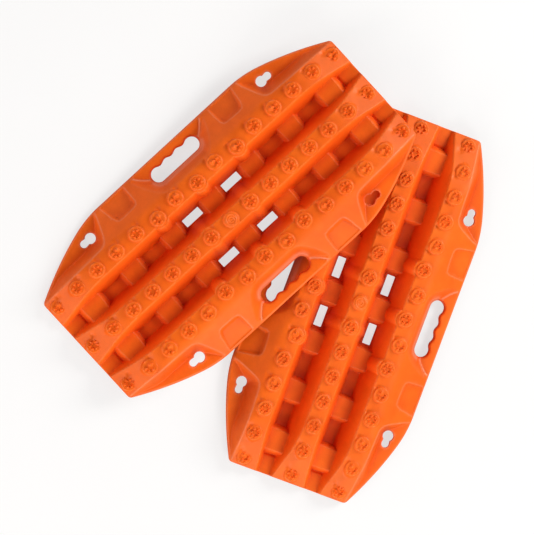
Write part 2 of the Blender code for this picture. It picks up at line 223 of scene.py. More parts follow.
# recesses in the side decks: (x, y) corners in |x|, |y|
KEY_RECESS = [
    (156.8, 156.0), (159.5, 147), (163, 138.5), (167, 129.5), (171.5, 119.5), (175.5, 113.2),
    (180, 109.4), (186, 107.4), (200, 106.4), (215, 105.9), (250, 104.7), (290, 103.2),
    (335, 101.4), (335, 180.0), (156.8, 180.0)]
ARCH = [
    (80.5, 156.0), (76.5, 146), (72.5, 136.5), (67.5, 127), (61.5, 118), (55, 110.4),
    (49.5, 105.6), (44, 103), (37, 102), (0, 102)]
ARCH = ARCH + [(-x, y) for x, y in reversed(ARCH[:-1])] + [(-80.5, 180.0), (80.5, 180.0)]
GRIP_FLOOR = [(50.5, 133.0), (57.5, 138.5), (64.5, 144.8), (70.5, 151.5), (73.5, 156.5), (76, 162)]
GRIP_FLOOR = GRIP_FLOOR + [(-x, y) for x, y in reversed(GRIP_FLOOR)]
POCKET = [
    (93.5, 157.0), (93.8, 140), (94.6, 127.5), (97.5, 122.6), (103, 121), (128, 120.2),
    (134.5, 121), (138.0, 124.5), (140.5, 132), (144.5, 157.0)]


def stud_places():
    """(x, y, number from the middle, row) of every stud."""
    for row in (1, 0, -1):
        for i in range(-7, 8):
            y = 81.0 if abs(i) in (0, 2) else 84.5 if abs(i) == 7 else 86.9
            yield i * STUD_PITCH, row * y, i, row


STUDS = list(stud_places())


# ---------------------------------------------------------------- the upper skin
def stud_top(x, i):
    """Level of a stud's flat top; the last ones sink into the ramp."""
    rise = 1.8 if abs(i) == 7 else 3.7 if abs(i) == 6 else 4.0
    return FLOOR_Z + RISE * float(ramp(x)) + rise


def block_spread(y):
    """Extra half length of the cross blocks, which widen towards +y in each valley."""
    return 1.6 * (np.where(y > 0, y, y + 2 * VALLEY_Y) - VALLEY_Y) / VALLEY_Y


def valley(x, y):
    """Valley floor with its cross blocks and a low step near each end."""
    abs_x = np.abs(x)
    z = FLOOR_Z + 2.4 * smooth((abs_x - 283.0) / 5.0)
    for middle, half, top in BLOCKS:
        inside = half + block_spread(y) - np.abs(abs_x - middle)
        block = soft_min(np.full(abs_x.shape, top), FLOOR_Z + BLOCK_SLOPE * inside, 6.5)
        z = soft_max(z, block, 2.0)
    return z


def column(from_axis, y, base_y, base_radius, top_y, top_radius):
    """Height of a leaning half-round column on a ridge wall.

    Its circles run from the base one at the floor to the top one at the ridge top; the
    share of the rise is the root of a quadratic.
    """
    shift, growth = top_y - base_y, top_radius - base_radius
    from_base = y - base_y
    square = shift ** 2 - growth ** 2
    linear = -2 * from_base * shift - 2 * base_radius * growth
    constant = from_axis ** 2 + from_base ** 2 - base_radius ** 2
    under_root = linear * linear - 4 * square * constant
    root = (-linear + np.sqrt(np.maximum(under_root, 0))) / (2 * square)
    return FLOOR_Z + RISE * np.clip(np.where(under_root > 0, root, -9.0), -9.0, 1.6)


def recess(z, inside, slope, floor, lip, foot):
    """Lowers z where inside is positive: rounded lip, sloping wall, rounded foot, level floor."""
    rounded = np.where(inside < lip, (inside + lip) ** 2 / (4 * lip), inside)
    drop = slope * np.where(inside < -lip, 0.0, rounded)
    lowered = soft_max(z - drop, np.minimum(np.full(z.shape, floor), z), foot)
    return np.where(inside > -lip, np.minimum(lowered, z), z)


def base_skin(x, y):
    """Ridges, valleys, blocks, wall columns and decks, with their recesses, without studs."""
    abs_x, abs_y = np.abs(x), np.abs(y)
    ridge_z = FLOOR_Z + RISE * ramp(abs_x)
    nowhere = -400.0                    # a column's height outside its reach

    wall = FLOOR_Z + RISE * (MIDDLE_FOOT - abs_y) / MIDDLE_RUN
    bulge = column(abs_x - STUD_PITCH, abs_y, base_y=17.5, base_radius=18.2,
                   top_y=0.8, top_radius=16.8)
    wall = soft_max(wall, np.where(abs_y < 60, bulge, nowhere), 4.0)
    middle_ridge = soft_min(ridge_z, wall, 5.0)

    wall = FLOOR_Z + RISE * (abs_y - SIDE_FOOT) / SIDE_RUN
    column_y = 81.0
    for middle in (0.0, 2 * STUD_PITCH):
        from_axis = abs_x - middle
        bulge = column(from_axis, abs_y, base_y=69.5, base_radius=19.6,
                       top_y=column_y, top_radius=17.2)
        bulge = np.where((abs_y < column_y) & (np.abs(from_axis) < 26), bulge, nowhere)
        wall = np.where(abs_y < column_y, soft_max(wall, bulge, 4.0), wall)
    # deck: level with the ridge top at |y| = 100, falling towards the edge
    deck = FLOOR_Z + RISE - 0.6 * (abs_y - 100.0)
    side_ridge = soft_min(soft_min(ridge_z, wall, 5.0), deck, 5.5)
    inner = soft_max(soft_max(middle_ridge, valley(x, y), 2.6), side_ridge, 2.6)
    z = np.where(abs_y > 79, side_ridge, inner)

    def inside(polygon, near):
        return np.where((abs_y > 96) & near, signed_distance(abs_x, abs_y, polygon), -50.0)

    # keyhole recess: a level floor below the deck
    z = recess(z, inside(KEY_RECESS, True), slope=1.75, floor=RIM_Z, lip=2.2, foot=3.2)
    # handle recess: a wide funnel, a small step and the grip floor
    z = recess(z, inside(ARCH, abs_x < 90), slope=0.92, floor=18.6, lip=3.0, foot=2.6)
    grip = inside(GRIP_FLOOR, abs_x < 90)
    z = z - smooth((grip + 0.7) / 1.6) * np.maximum(z - 15.6, 0.0)
    # shallow pockets in the struts, shallower towards the edge
    pocket = inside(POCKET, (abs_x > 85) & (abs_x < 150))
    depth = 6.2 - 4.0 * np.clip((abs_y - 121.0) / 34.0, 0.0, 1.0)
    wall_share = smooth((pocket + 0.8) / (1.6 + 0.75 * depth))
    return z - wall_share * depth * smooth((158.5 - abs_y) / 5.0)


def cone(distance, foot, top, height):
    """A tooth: a cone with a rounded tip."""
    side = top - height + (foot - distance) * height / (foot - 0.35)
    return soft_min(side, np.full(distance.shape, top), 0.9)


def teeth_of(i, row):
    """(x, y, foot radius, height) of the teeth on one stud, from its middle."""
    if i == 0 and row == 0:
        return []
    if (row, i + 8) in MIXED:
        inward = -1 if i > 0 else 1
        lean = math.atan2(3.0, 3.6 * inward)
        teeth = [(3.9 * math.cos(lean), 3.9 * math.sin(lean), 4.8, 6.2)]
        for k in (-1, 0, 1):
            angle = lean + math.pi + k * math.radians(56)
            teeth.append((6.9 * math.cos(angle), 6.9 * math.sin(angle), 2.4, 5.8))
        return teeth
    angles = [math.pi / 6 + math.pi / 3 * k for k in range(6)]
    return [(6.4 * math.cos(angle), 6.4 * math.sin(angle), 2.45, 6.0) for angle in angles]


def upper_skin(x, y):
    """The whole upper skin before its boundary edges are rounded."""
    z = base_skin(x, y)
    for stud_x, stud_y, i, row in STUDS:
        near = (np.abs(x - stud_x) < 22) & (np.abs(y - stud_y) < 22)
        if not near.any():
            continue
        dx, dy, local = x[near] - stud_x, y[near] - stud_y, z[near]
        radius = np.hypot(dx, dy)
        top = stud_top(stud_x, i)
        # soft dimple beside the plinth, on its +y side towards the board's middle
        if i:
            inward = -1 if i > 0 else 1
            from_dimple = (dx - 10.2 * inward) ** 2 + (dy - 12.2) ** 2
            local = local - 1.9 * np.exp(-from_dimple / (2 * 2.9 ** 2))
        # plinth with a rounded rim, drafted side and filleted foot
        over = np.minimum(radius - PLINTH_RADIUS, PLINTH_RIM)
        fall = PLINTH_RIM - np.sqrt(np.maximum(PLINTH_RIM ** 2 - over ** 2, 0))
        rim = np.where(radius < PLINTH_RADIUS, 0.0, fall)
        plinth = top - rim - 3.2 * np.maximum(radius - 12.15, 0)
        if i == 0 and row == 0:
            # two raised rings and a button instead of teeth
            plinth = (plinth + 0.9 * np.exp(-((radius - 8.3) / 0.85) ** 2)
                      + 0.85 * np.exp(-((radius - 4.3) / 0.8) ** 2)
                      + 0.7 * smooth(1 - radius / 2.4))
        local = soft_max(local, plinth, 3.4 if abs(i) < 7 else 1.6)
        for tooth_x, tooth_y, foot, height in teeth_of(i, row):
            distance = np.hypot(dx - tooth_x, dy - tooth_y)
            hit = distance < foot + 0.8
            tooth = cone(distance[hit], foot, top + height, height)
            local[hit] = soft_max(local[hit], tooth, 0.7)
        z[near] = local
    return z


# ---------------------------------------------------------------- boundary edges
def edge_radius(kind, y, under):
    """Rounding radius along a boundary of the given kind, on the upper or under side."""
    abs_y = np.abs(y)
    if kind == "drain":
        return np.full(len(y), 0.8)
    if under:
        return np.full(len(y), 1.2)
    if kind == "outline":
        return 1.5 + 2.7 * smooth((abs_y - 92.0) / 10.0)
    if kind == "slot":
        return 3.6 + 1.6 * smooth((128.0 - abs_y) / 7.0)
    return np.full(len(y), 1.6)


def edge_drop(distance, radius):
    """How far a rounded edge has fallen at a distance from the boundary."""
    d = np.clip(distance, 0.0, radius)
    drop = radius - np.sqrt(np.maximum(radius * radius - (radius - d) ** 2, 0.0))
    return np.where(distance < radius, drop, 0)


def boundary_fields(x, y):
    """Distances to each kind of boundary, positive on the material."""
    fields = {"outline": signed_distance(x, y, OUTLINE)}
    for kind, loops in HOLES.items():
        nearest = np.full(np.shape(x), 1e9)
        for loop in loops:
            middle_x = sum(p[0] for p in loop) / len(loop)
            middle_y = sum(p[1] for p in loop) / len(loop)
            reach = max(math.hypot(p[0] - middle_x, p[1] - middle_y) for p in loop) + 14
            near = np.hypot(x - middle_x, y - middle_y) < reach
            if near.any():
                distance = -signed_distance(x[near], y[near], loop)
                nearest[near] = np.minimum(nearest[near], distance)
        fields[kind] = nearest
    return fields


def upper_z(x, y):
    z = upper_skin(x, y)
    for kind, distance in boundary_fields(x, y).items():
        z = z - edge_drop(distance, edge_radius(kind, y, False))
    return z


def under_z(x, y):
    """The under skin: a ball of the wall's radius rolled below the upper one, with thick rims."""
    z = base_skin(x, y) - WALL
    for share, count in ((0.5, 8), (0.87, 12), (0.99, 12)):
        radius = WALL * share
        for dx, dy in circle_offsets(radius, count):
            z = np.minimum(z, base_skin(x + dx, y + dy) - math.sqrt(WALL ** 2 - radius ** 2))
    z = np.maximum(z - 0.4 * smooth((3.2 - z) / 1.6), 0.0)
    fields = boundary_fields(x, y)
    abs_y = np.abs(y)
    bead = smooth((6.4 - fields["outline"]) / 2.0) * smooth((abs_y - 92.0) / 8.0)
    z = z - bead * np.maximum(z - RIM_UNDER, 0.0)
    lip = smooth((5.4 - fields["slot"]) / 2.0)
    lip_z = np.where(abs_y > 128, RIM_UNDER, np.maximum(z - 4.0, RIM_UNDER))
    z = z - lip * np.maximum(z - lip_z, 0.0)
    for kind, distance in fields.items():
        z = z + edge_drop(distance, edge_radius(kind, y, True))
    return z


# ---------------------------------------------------------------- sampling the plan
CELL = 0.25                             # raster cell of the sampler
GRID_X, GRID_Y = 322.0, 165.0           # half size of the raster
TOP_SHARES = (0.0, 0.05, 0.16, 0.33, 0.56, 0.78, 1.0)    # edge rings, as shares of the radius
UNDER_SHARES = (0.0, 0.2, 0.6, 1.0)

# (ring radius, number of points) round each tooth and on the toothless middle stud
TOOTH_RINGS = ((0.0, 1), (0.5, 6), (1.05, 8), (1.75, 9), (2.45, 11), (3.0, 12), (3.8, 14),
               (4.6, 16), (5.2, 18), (5.8, 20))
BLANK_RINGS = ((0, 1), (1.0, 8), (2.0, 12), (3.4, 18), (3.9, 20), (4.4, 22), (4.9, 24),
               (5.6, 28), (7.2, 34), (7.8, 38), (8.2, 40), (8.7, 42), (9.4, 44))
PLINTH_RINGS = (11.0, 11.5, 11.85, 12.1, 12.35, 12.7, 13.15, 13.7, 14.4, 15.5)

# recess outlines, with the inward offsets of their sampled lines
RECESS_LINES = ((KEY_RECESS, (-2.2, -1.1, 0.0, 1.1, 2.2)), (ARCH, (-3.0, -1.5, 0.0, 1.5, 3.0)),
                (GRIP_FLOOR, (-0.7, 0.1, 0.9)), (POCKET, (-0.5, 0.6, 1.7)))


class Sampler:
    """Collects plan points, turning away any that fall too near one taken before."""

    def __init__(self, allowed):
        self.taken = ~allowed
        self.points = []

    def cells(self, points):
        return (np.rint((points[:, 1] + GRID_Y) / CELL).astype(int),
                np.rint((points[:, 0] + GRID_X) / CELL).astype(int))

    def mark(self, points, radius):
        row, col = self.cells(points)
        reach = int(radius / CELL)
        height, width = self.taken.shape
        for dy in range(-reach, reach + 1):
            for dx in range(-reach, reach + 1):
                if (dx * dx + dy * dy) * CELL * CELL <= radius * radius:
                    self.taken[np.clip(row + dy, 0, height - 1),
                               np.clip(col + dx, 0, width - 1)] = True

    def add(self, points, radius):
        in_x = np.abs(points[:, 0]) < GRID_X - 1
        points = points[in_x & (np.abs(points[:, 1]) < GRID_Y - 1)]
        points = points[~self.taken[self.cells(points)]]
        # one point per small neighbourhood inside a batch
        hood = np.round(points / max(radius * 0.7, CELL)).astype(int)
        _, first = np.unique(hood, axis=0, return_index=True)
        points = points[np.sort(first)]
        if len(points):
            self.points.append(points)
            self.mark(points, radius)


def material_on_left(loop, inside):
    """Whether the material, inside or outside the loop, lies on the left going round it."""
    p = np.array(loop, float)
    after = np.roll(p, -1, 0)
    winding = 0.5 * float(np.sum(p[:, 0] * after[:, 1] - after[:, 0] * p[:, 1]))
    return (winding > 0) == inside


def loop_rings(loop, inside, radii, shares):
    """Copies of a closed loop, moved into the material by share x radius at each point."""
    points = np.array(loop, float)
    along = np.roll(points, -1, 0) - points
    along /= np.linalg.norm(along, axis=1, keepdims=True)
    left = np.stack([-along[:, 1], along[:, 0]], 1)
    mitre = left + np.roll(left, 1, 0)
    mitre /= np.maximum((mitre * np.roll(left, 1, 0)).sum(1, keepdims=True), 0.5)
    mitre = mitre * (1.0 if material_on_left(loop, inside) else -1.0)
    return [points + mitre * (share * radii)[:, None] for share in shares]


def region_mask(loops):
    """Raster of the plan between the outline ring and the hole rings, by scan lines."""
    rows = np.arange(-GRID_Y, GRID_Y + CELL / 2, CELL)
    cols = np.arange(-GRID_X, GRID_X + CELL / 2, CELL)
    inside = np.zeros((len(rows), len(cols)), bool)
    for loop in loops:
        after = np.roll(loop, -1, 0)
        for j, y in enumerate(rows):
            hit = (loop[:, 1] > y) != (after[:, 1] > y)
            if hit.any():
                start, end = loop[hit], after[hit]
                x = start[:, 0] + ((y - start[:, 1]) * (end[:, 0] - start[:, 0])
                                   / (end[:, 1] - start[:, 1]))
                x.sort()
                for k in range(0, len(x) - 1, 2):
                    inside[j, np.searchsorted(cols, x[k]):np.searchsorted(cols, x[k + 1])] ^= True
    return inside


def hexagonal(step):
    rows = np.arange(-GRID_Y + 2, GRID_Y - 2, step * 0.8660254)
    points = []
    for k, y in enumerate(rows):
        x = np.arange(-GRID_X + 2 + (step / 2 if k % 2 else 0), GRID_X - 2, step)
        points.append(np.stack([x, np.full(len(x), y)], 1))
    return np.concatenate(points)


def wanted_spacing(tolerance):
    """Point spacing on a 1 mm grid, from how sharply the base skin bends there."""
    cols, rows = np.arange(-GRID_X, GRID_X + 0.5), np.arange(-GRID_Y, GRID_Y + 0.5)
    x, y = np.meshgrid(cols, rows)
    z = base_skin(x.ravel(), y.ravel()).reshape(x.shape)
    by_y, by_x = np.gradient(z)
    by_xy, by_xx = np.gradient(by_x)
    by_yy, _ = np.gradient(by_y)
    bend = (np.sqrt(by_xx * by_xx + 2 * by_xy * by_xy + by_yy * by_yy)
            / (1 + by_x * by_x + by_y * by_y))
    widest = bend.copy()
    for dy in (-1, 0, 1):
        for dx in (-1, 0, 1):
            widest = np.maximum(widest, np.roll(np.roll(bend, dy, 0), dx, 1))
    return np.sqrt(8 * tolerance / np.maximum(widest, 1e-4))


def add_fill(sampler, tolerance, stages):
    """Hexagonal fill; stages are (step, largest wanted spacing it serves, clear radius)."""
    spacing = wanted_spacing(tolerance)
    for step, limit, radius in stages:
        p = hexagonal(step)
        row = np.clip(np.rint(p[:, 1] + GRID_Y).astype(int), 0, spacing.shape[0] - 1)
        col = np.clip(np.rint(p[:, 0] + GRID_X).astype(int), 0, spacing.shape[1] - 1)
        sampler.add(p[spacing[row, col] < limit], radius)


def ring_points(x, y, radius, count, turn=0.0):
    angle = turn + 2 * math.pi * np.arange(count) / count
    return np.stack([x + radius * np.cos(angle), y + radius * np.sin(angle)], 1)


def add_stud_points(sampler):
    """Concentric rings round every tooth and every stud rim."""
    for k in range(6):
        for radius, count in TOOTH_RINGS:
            batch = []
            for stud_x, stud_y, i, row in STUDS:
                teeth = teeth_of(i, row)
                if k < len(teeth):
                    x, y, foot, _ = teeth[k]
                    if radius <= foot + 0.75 and (foot > 4 or radius < 3.3):
                        batch.append(ring_points(stud_x + x, stud_y + y, radius, count, 0.3 * k))
            if batch:
                sampler.add(np.concatenate(batch), 0.36)
    for radius, count in BLANK_RINGS:
        sampler.add(ring_points(0.0, 0.0, radius, count), 0.36)
    for j, radius in enumerate(PLINTH_RINGS):
        rings = [ring_points(x, y, radius, 36, 0.087 * (j % 2)) for x, y, _, _ in STUDS]
        sampler.add(np.concatenate(rings), 0.16 if radius < 12.9 else 0.45)


def add_long_lines(sampler, step, shift):
    """Rows of points along the ridge corners and feet, and round the cross blocks.

    A negative shift moves the rows into the ridges, for the under skin.
    """
    x = np.arange(-HALF_LENGTH + 1.9, HALF_LENGTH - 1.8, step)
    rise = RISE * ramp(x)
    middle_top = MIDDLE_FOOT - rise * MIDDLE_RUN / RISE
    side_top = SIDE_FOOT + rise * SIDE_RUN / RISE
    for offset in (0.0, 1.0, -1.0, 2.1, -2.1):
        for line in (middle_top + 2 * shift, side_top - 2 * shift):
            for side in (1, -1):
                sampler.add(np.stack([x, side * (line + offset)], 1), 0.55)
    for offset in (0.0, 0.9, -0.9):
        for foot in (MIDDLE_FOOT + shift, SIDE_FOOT - shift):
            for side in (1, -1):
                sampler.add(np.stack([x, np.full(len(x), side * (foot + offset))], 1), 0.5)
    across = np.arange(33.4, 51.6, step)
    for middle, half, top in BLOCKS:
        run = (top - FLOOR_Z) / BLOCK_SLOPE
        for side in (1, -1):
            y = side * across
            spread = block_spread(y)
            for inset in (run, run + 0.7, run - 0.7, run + 1.5, run - 1.5,
                          0.0, 0.6, -0.6, 1.2, run / 2):
                for side_x in ((1, -1) if middle else (1,)):
                    for end in (1, -1):
                        x = side_x * (middle + end * (half + spread - inset))
                        sampler.add(np.stack([x, y], 1), 0.5)


def add_recess_lines(sampler):
    """Points along the lips of the side recesses."""
    for polygon, offsets in RECESS_LINES:
        loop = np.array(resample(polygon, 2.6))
        for ring in loop_rings(loop, True, np.ones(len(loop)), offsets):
            for sides in QUADRANTS:
                sampler.add(ring * sides, 0.6)


# ---------------------------------------------------------------- meshing
def fill_points(inner, under):
    """Plan points between the innermost edge rings."""
    sampler = Sampler(region_mask(inner))
    for loop in inner:
        sampler.mark(loop, 0.5)
    if under:
        add_long_lines(sampler, 4.6, -1.2)
        add_fill(sampler, 0.16, ((3.2, 2.6, 2.1), (4.6, 5.0, 3.2), (8.0, 99.0, 5.5)))
    else:
        add_stud_points(sampler)
        add_long_lines(sampler, 2.8, 0.0)
        add_recess_lines(sampler)
        add_fill(sampler, 0.07, ((1.45, 1.3, 0.95), (2.1, 2.4, 1.45), (3.0, 4.2, 2.1),
                                 (4.4, 99.0, 3.0)))
    fill = np.concatenate(sampler.points)
    clear = signed_distance(fill[:, 0], fill[:, 1], inner[0]) > 0.25
    for loop in inner[1:]:
        middle = loop.mean(0)
        near = np.hypot(*(fill - middle).T) < np.hypot(*(loop - middle).T).max() + 2
        clear[near] &= signed_distance(fill[near, 0], fill[near, 1], loop) < -0.25
    return fill[clear]


def triangulate(plan, inner):
    """Anticlockwise triangles between the rings, which come first in plan."""
    edges, start = [], 0
    for loop in inner:
        count = len(loop)
        edges += [(start + k, start + (k + 1) % count) for k in range(count)]
        start += count
    _, _, faces, origin, _, _ = delaunay_2d_cdt([Vector(p) for p in plan], edges, [], 0, 1e-7, True)
    first = np.array([o[0] if len(o) else -1 for o in origin])
    if (first < 0).any():
        raise RuntimeError("edge loops cross while meshing")
    tri = first[np.array([f for f in faces if len(f) == 3])]
    # triangles with every corner on a ring may lie across a hole
    on_rings = (tri < start).all(1)
    x, y = plan[tri].mean(1)[on_rings].T
    wanted = signed_distance(x, y, inner[0]) > 0
    for loop in inner[1:]:
        wanted &= signed_distance(x, y, loop) < 0
    keep = ~on_rings
    keep[on_rings] = wanted
    tri = tri[keep]
    a, b, c = (plan[tri[:, k]] for k in range(3))
    area = ((b[:, 0] - a[:, 0]) * (c[:, 1] - a[:, 1])
            - (b[:, 1] - a[:, 1]) * (c[:, 0] - a[:, 0]))
    tri[area < 0] = tri[area < 0][:, ::-1]
    return tri


def board_mesh():
    """One board: points in mm, faces, range of the upper fill points, number of upper points."""
    verts, faces, rims = [], [], {}
    count = 0
    for under in (False, True):
        height = under_z if under else upper_z
        shares = UNDER_SHARES if under else TOP_SHARES
        rings = [loop_rings(loop, kind == "outline",
                            edge_radius(kind, np.array(loop)[:, 1], under), shares)
                 for kind, loop in LOOPS]
        inner = [ring[-1] for ring in rings]
        plan = np.concatenate(inner + [fill_points(inner, under)])
        tri = triangulate(plan, inner)
        verts.append(np.column_stack([plan, height(plan[:, 0], plan[:, 1])]))
        faces += ((tri[:, ::-1] if under else tri) + count).tolist()
        if under:
            upper_count = count
        else:
            fill_range = (sum(len(loop) for loop in inner), len(plan))
        ring_start = count
        count += len(plan)
        rims[under] = []
        for ring, (kind, loop) in zip(rings, LOOPS):
            size = len(loop)
            ids = [None] * len(ring)
            ids[-1] = ring_start + np.arange(size)
            ring_start += size
            for k in range(len(ring) - 2, -1, -1):
                p = ring[k]
                verts.append(np.column_stack([p, height(p[:, 0], p[:, 1])]))
                ids[k] = count + np.arange(size)
                count += size
            rims[under].append(ids[0])
            flip = material_on_left(loop, kind == "outline") == under
            for outer, inward in zip(ids, ids[1:]):
                strip = np.stack([outer, np.roll(outer, -1), np.roll(inward, -1), inward], 1)
                faces += (strip[:, ::-1] if flip else strip).tolist()
    # walls between the two skins
    for top, low, (kind, loop) in zip(rims[False], rims[True], LOOPS):
        wall = np.stack([top, np.roll(top, -1), np.roll(low, -1), low], 1)
        flip = material_on_left(loop, kind == "outline")
        faces += (wall[:, ::-1] if flip else wall).tolist()
    return np.concatenate(verts), faces, fill_range, upper_count


# ---------------------------------------------------------------- marks for the finish and for painted light and shade
# (recess, |x| from, |x| to, distance inside, width, strength) of the painted highlights along the
# recess lips
LIP_HIGHLIGHTS = ((GRIP_FLOOR, 48, 150, -0.2, 1.3, 1.0), (KEY_RECESS, -1, math.inf, -0.5, 1.1, 0.45),
          (POCKET, -1, 150, -0.8, 0.9, 0.4))


def surface_marks(points):
    """Marks in 0..1 at each point: exposed edge, painted shade in creases and hollows, painted
    highlight on lips.
    """
    def bell(distance, at, width):
        return np.exp(-((distance - at) / width) ** 2)

    x, y = points[:, 0], points[:, 1]
    z = upper_skin(x, y)
    near = np.zeros(len(points))
    for dx, dy in circle_offsets(1.6, 8):
        near += upper_skin(x + dx, y + dy) / 8
    # painted shade in hollows: how far each point lies below its wide surroundings
    wide = np.zeros(len(points))
    for dx, dy in circle_offsets(14, 8):
        wide += np.maximum(base_skin(x + dx, y + dy), z) / 8
    hollow_shade = np.clip((wide - z) / 19.0, 0.0, 1.0)

    out, slot, keyhole, drain = boundary_fields(x, y).values()
    abs_x, abs_y = np.abs(x), np.abs(y)
    outer = smooth((abs_y - 126.0) / 6.0)
    # painted highlight: pale bands on the inner slot fillet, the keyhole lips and the rim edge
    lip = np.maximum((1 - outer) * bell(slot, 3.8, 3.0), 0.5 * bell(keyhole, 0.9, 0.9))
    lip = np.maximum(lip, 0.22 * bell(out, 1.6, 1.3) * smooth((abs_y - 92.0) / 10.0))
    for polygon, from_x, to_x, at, width, strength in LIP_HIGHLIGHTS:
        where = (abs_y > 96) & (abs_x > from_x) & (abs_x < to_x)
        inside = np.where(where, signed_distance(abs_x, abs_y, polygon), 99.0)
        lip_highlight = strength * bell(inside, at, width)
        lip = np.maximum(lip, lip_highlight * smooth((out - 1.0) / 2.0) * smooth((slot - 1.0) / 3.0))
    # shade inside the scalloped slot edge and round the drain holes
    hollow_shade = np.maximum(hollow_shade, 0.85 * outer * bell(slot, 1.4, 2.3))
    hollow_shade = np.maximum(hollow_shade, bell(drain, 0.4, 1.5))
    # the crease and hollow marks feed painted shade, the lip mark a painted highlight; the edge
    # mark feeds a painted highlight and gloss
    return {"edge": np.clip((z - near) / 0.9, 0.0, 1.0),
            "crease_shade": np.clip((near - z) / 0.9, 0.0, 1.0), "hollow_shade": hollow_shade, "lip": lip}


# ---------------------------------------------------------------- materials
class Shading:
    """A new material, with short calls for building its nodes."""

    def __init__(self, name):
        self.material = bpy.data.materials.new(name)
        self.material.use_nodes = True
        self.tree = self.material.node_tree
        self.shader = self.tree.nodes["Principled BSDF"]

    def feed(self, socket, value):
        if isinstance(value, bpy.types.NodeSocket):
            self.tree.links.new(value, socket)
        else:
            socket.default_value = value

    def surface(self, values):
        for key, value in values.items():
            self.feed(self.shader.inputs[key], value)

    def node(self, kind, **values):
        """A node; values name its inputs, with _ for a space, or its properties."""
        node = self.tree.nodes.new(kind)
        for key, value in values.items():
            socket = key.replace("_", " ")
            if socket in node.inputs:
                self.feed(node.inputs[socket], value)
            else:
                setattr(node, key, value)
        return node

    def ramp(self, source, low, low_colour, high, high_colour):
        node = self.node("ShaderNodeValToRGB", Fac=source)
        stops = ((low, low_colour), (high, high_colour))
        for element, (position, colour) in zip(node.color_ramp.elements, stops):
            element.position = position
            element.color = (*colour, 1.0)
        return node.outputs["Color"]

    def mix(self, kind, factor, first, second):
        node = self.node("ShaderNodeMix", data_type="RGBA", blend_type=kind)
        for index, value in ((0, factor), (6, first), (7, second)):
            self.feed(node.inputs[index], value)
        return node.outputs[2]

    def multiply(self, first, second):
        node = self.node("ShaderNodeMath", operation="MULTIPLY")
        self.feed(node.inputs[0], first)
        self.feed(node.inputs[1], second)
        return node.outputs[0]

    def mark(self, key):
        return self.node("ShaderNodeAttribute", attribute_name=key).outputs["Fac"]


def nylon(name, seed):
    """Orange moulded nylon: fine grain, flow mottling, painted highlights on edges and lips,
    painted shade in hollows and creases.
    """
    shading = Shading(name)
    ramp_of, mix, multiply, mark = shading.ramp, shading.mix, shading.multiply, shading.mark
    coords = shading.node("ShaderNodeAttribute", attribute_name="board_place")
    place = shading.node("ShaderNodeMapping", Location=(seed * 0.37, seed * 0.19, seed * 0.11),
                         Vector=coords.outputs["Vector"])

    def noise(scale, detail, roughness, distortion=0.0):
        return shading.node("ShaderNodeTexNoise", Scale=scale, Detail=detail,
                            Roughness=roughness, Distortion=distortion,
                            Vector=place.outputs["Vector"]).outputs["Fac"]

    def grey(value):
        return (value, value, value)

    # flow mottling, broad patches and fine grain
    flow, patch, speck = noise(9.0, 4.0, 0.55, 1.2), noise(42.0, 3.0, 0.6), noise(1900.0, 2.0, 0.6)
    colour = ramp_of(flow, 0.30, (0.89, 0.128, 0.0065), 0.70, (0.98, 0.160, 0.0085))
    tint = ramp_of(patch, 0.35, (0.95, 0.94, 0.93), 0.65, (1.04, 1.05, 1.06))
    colour = mix("MULTIPLY", 1.0, colour, tint)
    grain = ramp_of(speck, 0.30, (0.93, 0.92, 0.92), 0.70, (1.05, 1.06, 1.06))
    colour = mix("MULTIPLY", 1.0, colour, grain)
    # painted highlight: exposed edges go paler, broken up by noise
    breakup = ramp_of(noise(260.0, 4.0, 0.65), 0.42, grey(0), 0.62, grey(1))
    edge_highlight = multiply(multiply(mark("edge"), breakup), 0.55)
    colour = mix("MIX", edge_highlight, colour, (0.95, 0.27, 0.085, 1.0))
    # painted highlight on the lips of the grips, keyholes and rim
    colour = mix("MIX", multiply(mark("lip"), 0.55), colour, (0.97, 0.43, 0.28, 1.0))
    # painted shade: a deeper, redder tone in hollows and creases
    colour = mix("MULTIPLY", mark("hollow_shade"), colour, (0.76, 0.30, 0.22, 1.0))
    colour = mix("MULTIPLY", multiply(mark("crease_shade"), 0.16), colour, (0.84, 0.62, 0.6, 1.0))

    # edges and lips are glossier
    rough = ramp_of(noise(120.0, 5.0, 0.6), 0.30, grey(0.39), 0.70, grey(0.50))
    rough = mix("MIX", multiply(mark("edge"), 0.5), rough, (*grey(0.26), 1.0))
    rough = mix("MIX", multiply(mark("lip"), 0.9), rough, (*grey(0.20), 1.0))

    wave = shading.node("ShaderNodeBump", Strength=0.22, Distance=0.0012,
                        Height=noise(34.0, 2.0, 0.5))
    fine = shading.node("ShaderNodeBump", Strength=0.32, Distance=0.00022,
                        Height=noise(900.0, 3.0, 0.62), Normal=wave.outputs["Normal"])
    shading.surface({"Base Color": colour, "Roughness": rough, "IOR": 1.5,
                     "Specular IOR Level": 0.34, "Specular Tint": (1.0, 0.87, 0.73, 1.0),
                     "Normal": fine.outputs["Normal"]})
    return shading.material


